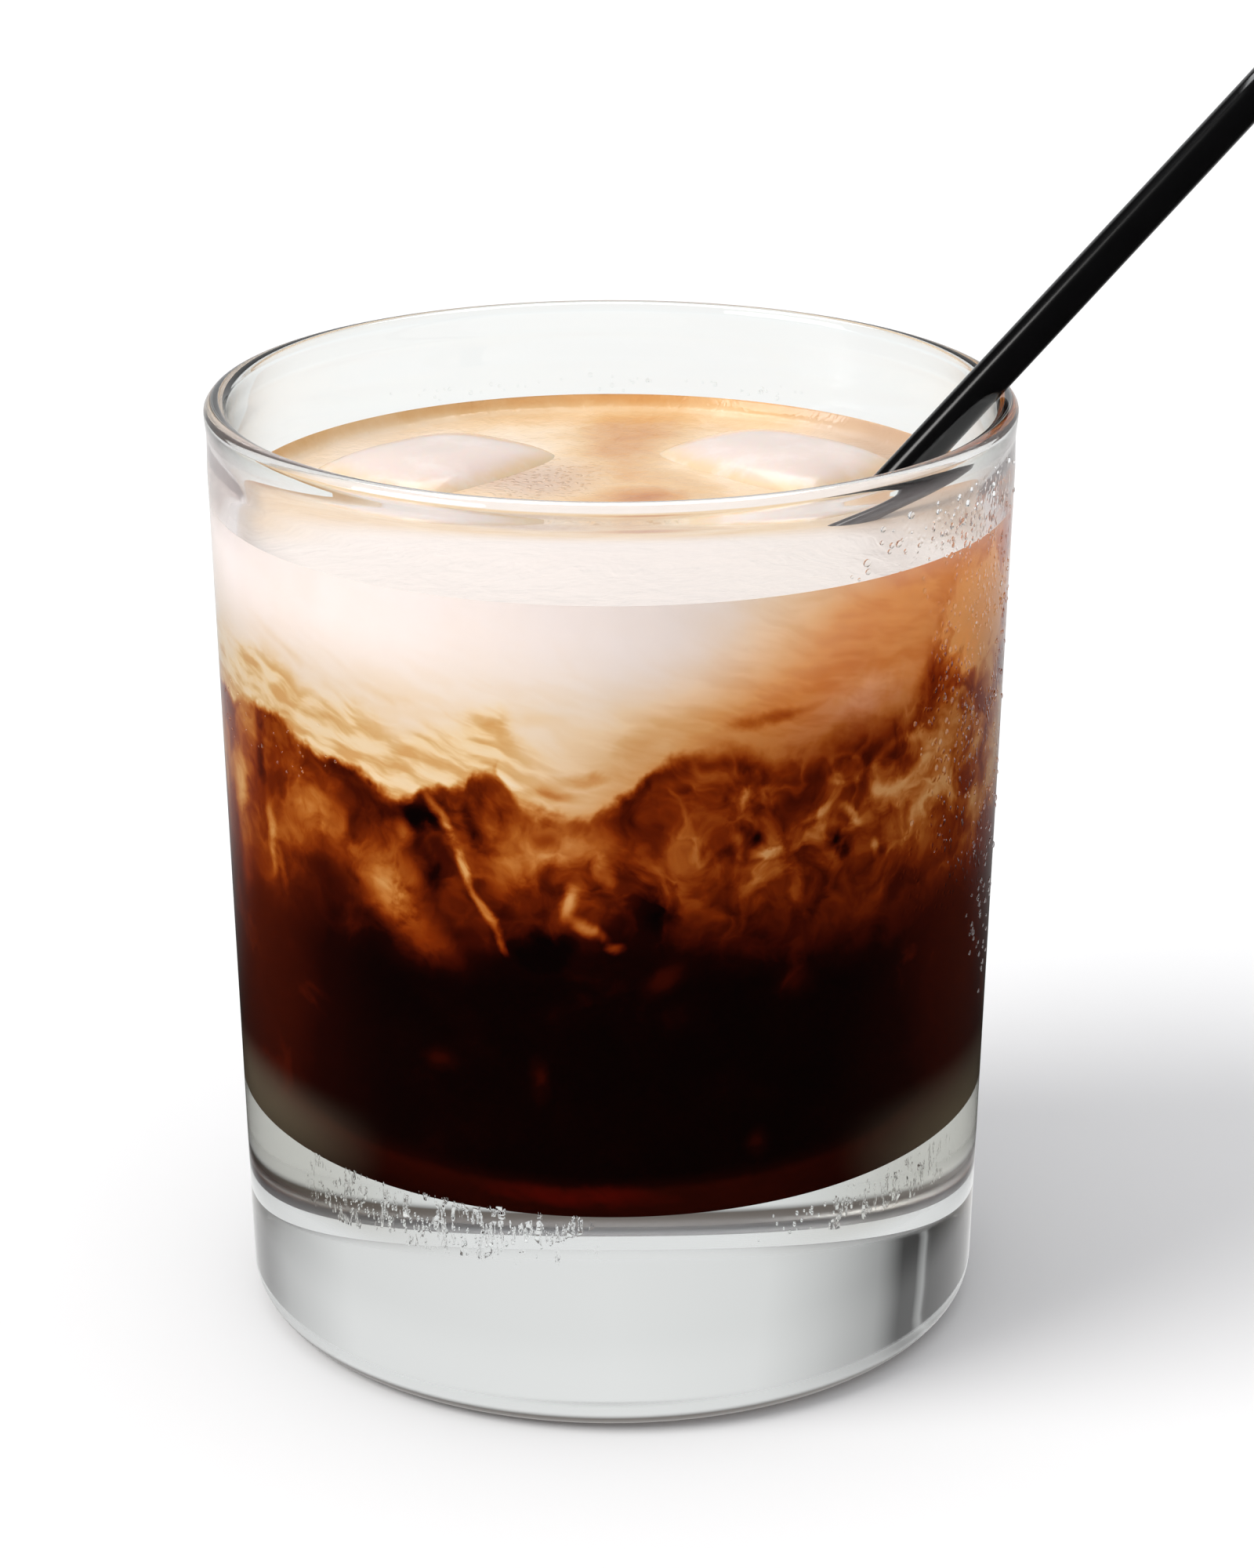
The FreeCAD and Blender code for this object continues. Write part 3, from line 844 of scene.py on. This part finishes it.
class DRINK_OT_glass(bpy.types.Operator):
    """The rocks glass"""
    bl_idname = "drink.glass"
    bl_label = "Glass"

    def execute(self, context):
        piece = new_piece("rocks_glass", lambda bm: spin_profile(bm, glass_profile()), [clear_glass()])
        seat(piece, "glass")
        return {"FINISHED"}


class DRINK_OT_drink(bpy.types.Operator):
    """The cream, the mingled coffee and the liqueur"""
    bl_idname = "drink.drink"
    bl_label = "Drink"

    def execute(self, context):
        wall, top = drink_against_glass(), drink_surface()
        cream = new_piece("cream_layer", lambda bm: slab_between(bm, cream_top, cream_underside), [wall, top])
        for face in cream.data.polygons:
            if face.normal.z > 0.3:
                face.material_index = 1
        seat(cream, "cream")
        mingled = new_piece("mingled_layer",
                            lambda bm: slab_between(bm, cream_underside, mingled_underside), [wall])
        seat(mingled, "mingled_coffee")
        seat(new_piece("liqueur_layer", liqueur_body, [wall]), "liqueur")
        return {"FINISHED"}


def ice_cube(bm, width, length_, height, azimuth, tip, roll, seed):
    """A half-melted cube afloat against the wall."""
    i = sizes("ice")
    level = sizes("drink").level
    bmesh.ops.create_cube(bm, size=1.0)
    bmesh.ops.scale(bm, vec=(width, length_, height), verts=bm.verts)
    bmesh.ops.translate(bm, vec=(0, 0, -height / 2), verts=bm.verts)
    bmesh.ops.bevel(bm, geom=bm.edges[:], offset=i.edge, offset_type="OFFSET", affect="EDGES",
                    segments=10, profile=0.5, material=-1)
    bmesh.ops.subdivide_edges(bm, edges=[e for e in bm.edges if e.calc_length() > 5 * MM], cuts=10,
                              use_grid_fill=True)
    for v in bm.verts:
        lump = noise.fractal(v.co * 160 + Vector((seed, 0, 0)), 0.5, 2.0, 3)
        v.co += v.co.normalized() * lump * 0.35 * MM
        crown = ((abs(v.co.x) * 2 / width) ** 3 + (abs(v.co.y) * 2 / length_) ** 3) ** (1 / 3)
        if v.co.z > -4 * i.stand:
            v.co.z -= i.melt * max(0.0, crown - 0.25) ** 1.7
    clear = inner_radius(level - height) - i.wall_gap
    corner = i.edge * (1 - math.sqrt(0.5))
    reach = math.sqrt(clear ** 2 - (length_ / 2 - corner) ** 2) + corner
    out = outward(azimuth)
    afloat = Matrix.Translation(out * (reach - width / 2) + Vector((0, 0, level + i.stand)))
    turned = Matrix.Rotation(math.atan2(out.y, out.x), 4, "Z")
    leaning = Matrix.Rotation(roll, 4, "X") @ Matrix.Rotation(tip, 4, "Y")
    bmesh.ops.transform(bm, matrix=afloat @ turned @ leaning, verts=bm.verts)


class DRINK_OT_ice(bpy.types.Operator):
    """The two cubes that break the surface"""
    bl_idname = "drink.ice"
    bl_label = "Ice"

    def execute(self, context):
        for side, width, length_, height, *angles, seed in ICE_CUBES:
            box = (width * MM, length_ * MM, height * MM)
            turns = [math.radians(a) for a in angles]
            piece = new_piece("ice_cube_" + side, lambda bm: ice_cube(bm, *box, *turns, seed), [creamy_ice()])
            seat(piece, "ice_" + side)
        return {"FINISHED"}


def dew_drops(bm):
    """Flattened domes on the glass, each sunk a little into it."""
    chance = random.Random(11)
    for count, az0, az1, z0, z1, r0, r1, stretch, inside in DEW_FIELDS:
        for _ in range(count):
            out = outward(math.radians(az0 + (az1 - az0) * chance.betavariate(1.7, 1.7)))
            z = (z0 + (z1 - z0) * chance.betavariate(1.7, 1.7)) * MM
            size = (r0 + (r1 - r0) * chance.random() ** 2) * MM
            foot = out * (inner_radius(z) if inside else outer_radius(z)) + Vector((0, 0, z))
            normal = -out if inside else out
            side = Vector((0, 0, 1)).cross(normal)
            loops = []
            for rise in (-12, 22, 50, 74):
                a = math.radians(rise)
                loops.append([bm.verts.new(foot + normal * (size * 0.5 * math.sin(a))
                                           + side * (size * math.cos(a) * math.cos(t))
                                           + Vector((0, 0, size * stretch * math.cos(a) * math.sin(t))))
                              for t in (math.pi * k / 4 for k in range(8))])
            for low, high in zip(loops, loops[1:]):
                ring_of_faces(bm, low, high)
            bm.faces.new(loops[0][::-1])
            bm.faces.new(loops[-1])


class DRINK_OT_dew(bpy.types.Operator):
    """Drops of dew on the cold glass"""
    bl_idname = "drink.dew"
    bl_label = "Dew"

    def execute(self, context):
        seat(new_piece("dew_drops", dew_drops, [water()]), None)
        return {"FINISHED"}


def straw_line():
    """Lower end and direction of the straw: over the bead of the rim, down to the wall inside."""
    g, s = sizes("glass"), sizes("straw")
    direction = outward(s.heading) * math.cos(s.slope) + Vector((0, 0, math.sin(s.slope)))
    out = outward(s.rest_azimuth)
    up = direction.cross(Vector((0, 0, 1)).cross(out)).normalized()
    if up.z < 0:
        up = -up
    bead = out * (g.rim_radius - g.lip_radius) + Vector((0, 0, g.height - g.lip_radius))
    rest = bead + up * (g.lip_radius + s.rest_gap + s.diameter / 2)
    low, high = 0.0, 3 * g.rim_radius
    for _ in range(60):
        middle = (low + high) / 2
        end = rest - direction * middle
        side = Vector((end.x, end.y, 0))
        across = math.sqrt(max(0.0, 1 - side.normalized().dot(direction) ** 2))
        free = inner_radius(end.z) - side.length - s.diameter / 2 * across - s.end_gap
        if middle < g.rim_radius or free > 0:
            low = middle
        else:
            high = middle
    return rest - direction * low, direction


class DRINK_OT_straw(bpy.types.Operator):
    """The black straw"""
    bl_idname = "drink.straw"
    bl_label = "Straw"

    def execute(self, context):
        s = sizes("straw")
        end, direction = straw_line()
        outer, inner = s.diameter / 2, s.diameter / 2 - s.wall
        rim = 0.08 * MM
        points = [(inner, rim), (inner + rim, 0), (outer - rim, 0), (outer, rim)]
        points += [(outer, s.length * i / 12) for i in range(1, 12)]
        points += [(outer, s.length - rim), (outer - rim, s.length), (inner + rim, s.length),
                   (inner, s.length - rim)]

        def build(bm):
            spin_profile(bm, points + [points[0]], 64)
            bmesh.ops.transform(bm, matrix=Matrix.Translation(end) @
                                direction.to_track_quat("Z", "Y").to_matrix().to_4x4(), verts=bm.verts)

        seat(new_piece("drinking_straw", build, [black_plastic()]), "straw")
        return {"FINISHED"}


ROOM_LIGHT = 0.70                 # strength of the room on what isn't glass
LAMPS = (                         # name, azimuth, height and spread in degrees, energy, seen in reflections
    ("daylight", -66, 42, 34, 2.0, True), ("room_fill", 12, 24, 70, 0.36, False))


def white_table():
    """Plain white floor that keeps its shadows; where glass bends or mirrors it, it glows with painted greys
    instead of its lit colour.
    """
    made, w, place = material("white_table")
    shade = w.mix(w.noise(place, 400.0, 1.0), linear((250, 250, 251)), linear((252, 252, 252)))
    table_top = w.surface(Base_Color=shade, Roughness=0.9, Specular_IOR_Level=0.0)
    kinds, mirrored = w.rays()
    away = w.distance(w.stretched(place, 1, 1, 0))
    # painted light: through glass the table glows grey near the glass and white further off; in mirrors it
    # glows dark in front, pale near the glass and far behind
    behind_glass = w.mix(w.step(away, 70.0, 170.0), (0.74, 0.75, 0.75), (0.97, 0.97, 0.97))
    mirror = w.mix(w.step(w.parts(place)[1], 60.0, 300.0), (0.02, 0.017, 0.015), (0.8, 0.8, 0.8))
    mirror = w.mix(w.step(away, 62.0, 50.0), mirror, (0.9, 0.9, 0.9))
    plain = w.filled("Emission", Color=w.mix(mirrored, behind_glass, mirror))
    seen_in_glass = w.math("MAXIMUM", w.times(kinds["Is Transmission Ray"], 0.85), mirrored)
    w.out(w.blend(seen_in_glass, table_top, plain))
    return made


def light_room(scene):
    """White to the eye, a soft room with darker sides to the glass, and even light on the rest."""
    scene.world = scene.world or bpy.data.worlds.new("studio")
    scene.world.use_nodes = True
    w = Wiring(scene.world.node_tree)
    where = w.node("ShaderNodeTexCoord").outputs["Generated"]
    x, y, _ = w.parts(w.moved(where, w.wander(where, 0.5), 0.12))
    kinds, mirrored = w.rays()
    turn = w.line(w.math("ARCTAN2", x, w.times(y, -1.0)), 1 / (2 * math.pi), 0.5)
    room = w.ramp(turn, [((a + 180) / 360, linear((grey, grey, grey))) for a, grey in ROOM_TONES])
    shade = w.mix(kinds["Is Transmission Ray"], (0.97, 0.98, 1.0), room)
    mirror = w.mix(w.step(y, 0.60, 0.98), (0.02, 0.018, 0.016), (0.72, 0.73, 0.74))
    shade = w.mix(mirrored, shade, mirror)
    shade = w.mix(kinds["Is Camera Ray"], shade, (1, 1, 1))
    shown = w.math("MAXIMUM", kinds["Is Camera Ray"],
                   w.math("MAXIMUM", kinds["Is Glossy Ray"], kinds["Is Transmission Ray"]))
    strength = w.line(shown, 1.0 - ROOM_LIGHT, ROOM_LIGHT)
    w.out(w.filled("Background", Color=shade, Strength=strength), "OutputWorld")


def soft_lamp(scene, name, azimuth, height, spread, energy, in_reflections):
    """A distant lamp; a wide spread gives a soft shadow."""
    lamp = bpy.data.lights.new(name, "SUN")
    lamp.energy = energy
    lamp.angle = math.radians(spread)
    lamp.color = (1.0, 0.985, 0.965)
    sun = bpy.data.objects.new(name, lamp)
    up = math.radians(height)
    toward = outward(math.radians(azimuth)) * math.cos(up) + Vector((0, 0, math.sin(up)))
    sun.rotation_euler = toward.to_track_quat("Z", "Y").to_euler()
    sun.visible_glossy = in_reflections
    scene.collection.objects.link(sun)


def soft_boxes():
    """One box overhead and a tall one on the left, seen only in reflections."""
    glowing, w, place = material("soft_box")
    shade = w.mix(w.noise(place, 300.0, 0.0), (1.0, 1.0, 1.0), (0.9, 0.95, 1.0))
    w.out(w.filled("Emission", Color=shade, Strength=6.0))
    out = outward(math.radians(-78))
    side = Vector((0, 0, 1)).cross(out)
    overhead = [(-0.5, 0.1, 1.2), (0.4, 0.1, 1.2), (0.4, 0.75, 1.05), (-0.5, 0.75, 1.05)]
    upright = [out * 0.9 + side * across + Vector((0, 0, z))
               for across, z in ((-0.09, 0.25), (0.09, 0.25), (0.09, 0.8), (-0.09, 0.8))]
    for name, corners in (("box_overhead", overhead), ("box_left", upright)):
        card = new_piece(name, lambda bm: bm.faces.new([bm.verts.new(c) for c in corners]), [glowing],
                         smooth=False)
        card.visible_camera = card.visible_diffuse = card.visible_shadow = False
        card.visible_transmission = False


def place_camera(scene):
    camera = bpy.data.objects.new("camera", bpy.data.cameras.new("camera"))
    camera.data.lens = 99
    camera.data.sensor_width = 36
    camera.location = (0.00167, -0.4430, 0.2178)
    camera.rotation_euler = (math.radians(70.20), 0, 0)
    scene.collection.objects.link(camera)
    scene.camera = camera


class DRINK_OT_stage(bpy.types.Operator):
    """White table, soft daylight from the left and the camera"""
    bl_idname = "drink.stage"
    bl_label = "Stage"

    def execute(self, context):
        scene = context.scene
        table = new_piece("table", lambda bm: bmesh.ops.create_grid(bm, x_segments=1, y_segments=1, size=6.0),
                          [white_table()], smooth=False)
        light_room(scene)
        for lamp in LAMPS:
            soft_lamp(scene, *lamp)
        soft_boxes()
        place_camera(scene)
        scene.view_settings.view_transform = "Standard"
        return {"FINISHED"}


class DRINK_PT_panel(bpy.types.Panel):
    """Buttons and sizes of the drink"""
    bl_label = "White russian"
    bl_idname = "DRINK_PT_panel"
    bl_space_type = "VIEW_3D"
    bl_region_type = "UI"
    bl_category = "Drink"

    def draw(self, context):
        for step in STEPS:
            self.layout.operator(step.bl_idname)
        for key, group in GROUPS.items():
            box = self.layout.box()
            box.label(text=key)
            for field in group.__annotations__:
                box.prop(sizes(key), field)


GROUPS = {"glass": GlassSizes, "drink": DrinkSizes, "ice": IceSizes, "straw": StrawSizes}
STEPS = (DRINK_OT_glass, DRINK_OT_dew, DRINK_OT_drink, DRINK_OT_ice, DRINK_OT_straw, DRINK_OT_stage)


def register():
    for cls in (*GROUPS.values(), *STEPS, DRINK_PT_panel):
        bpy.utils.register_class(cls)
    for key, group in GROUPS.items():
        setattr(bpy.types.Scene, "drink_" + key, bpy.props.PointerProperty(type=group))


def unregister():
    for key in GROUPS:
        delattr(bpy.types.Scene, "drink_" + key)
    for cls in reversed((*GROUPS.values(), *STEPS, DRINK_PT_panel)):
        bpy.utils.unregister_class(cls)


def main():
    register()
    for step in STEPS:
        group, name = step.bl_idname.split(".")
        getattr(getattr(bpy.ops, group), name)()


if __name__ == "__main__":
    main()
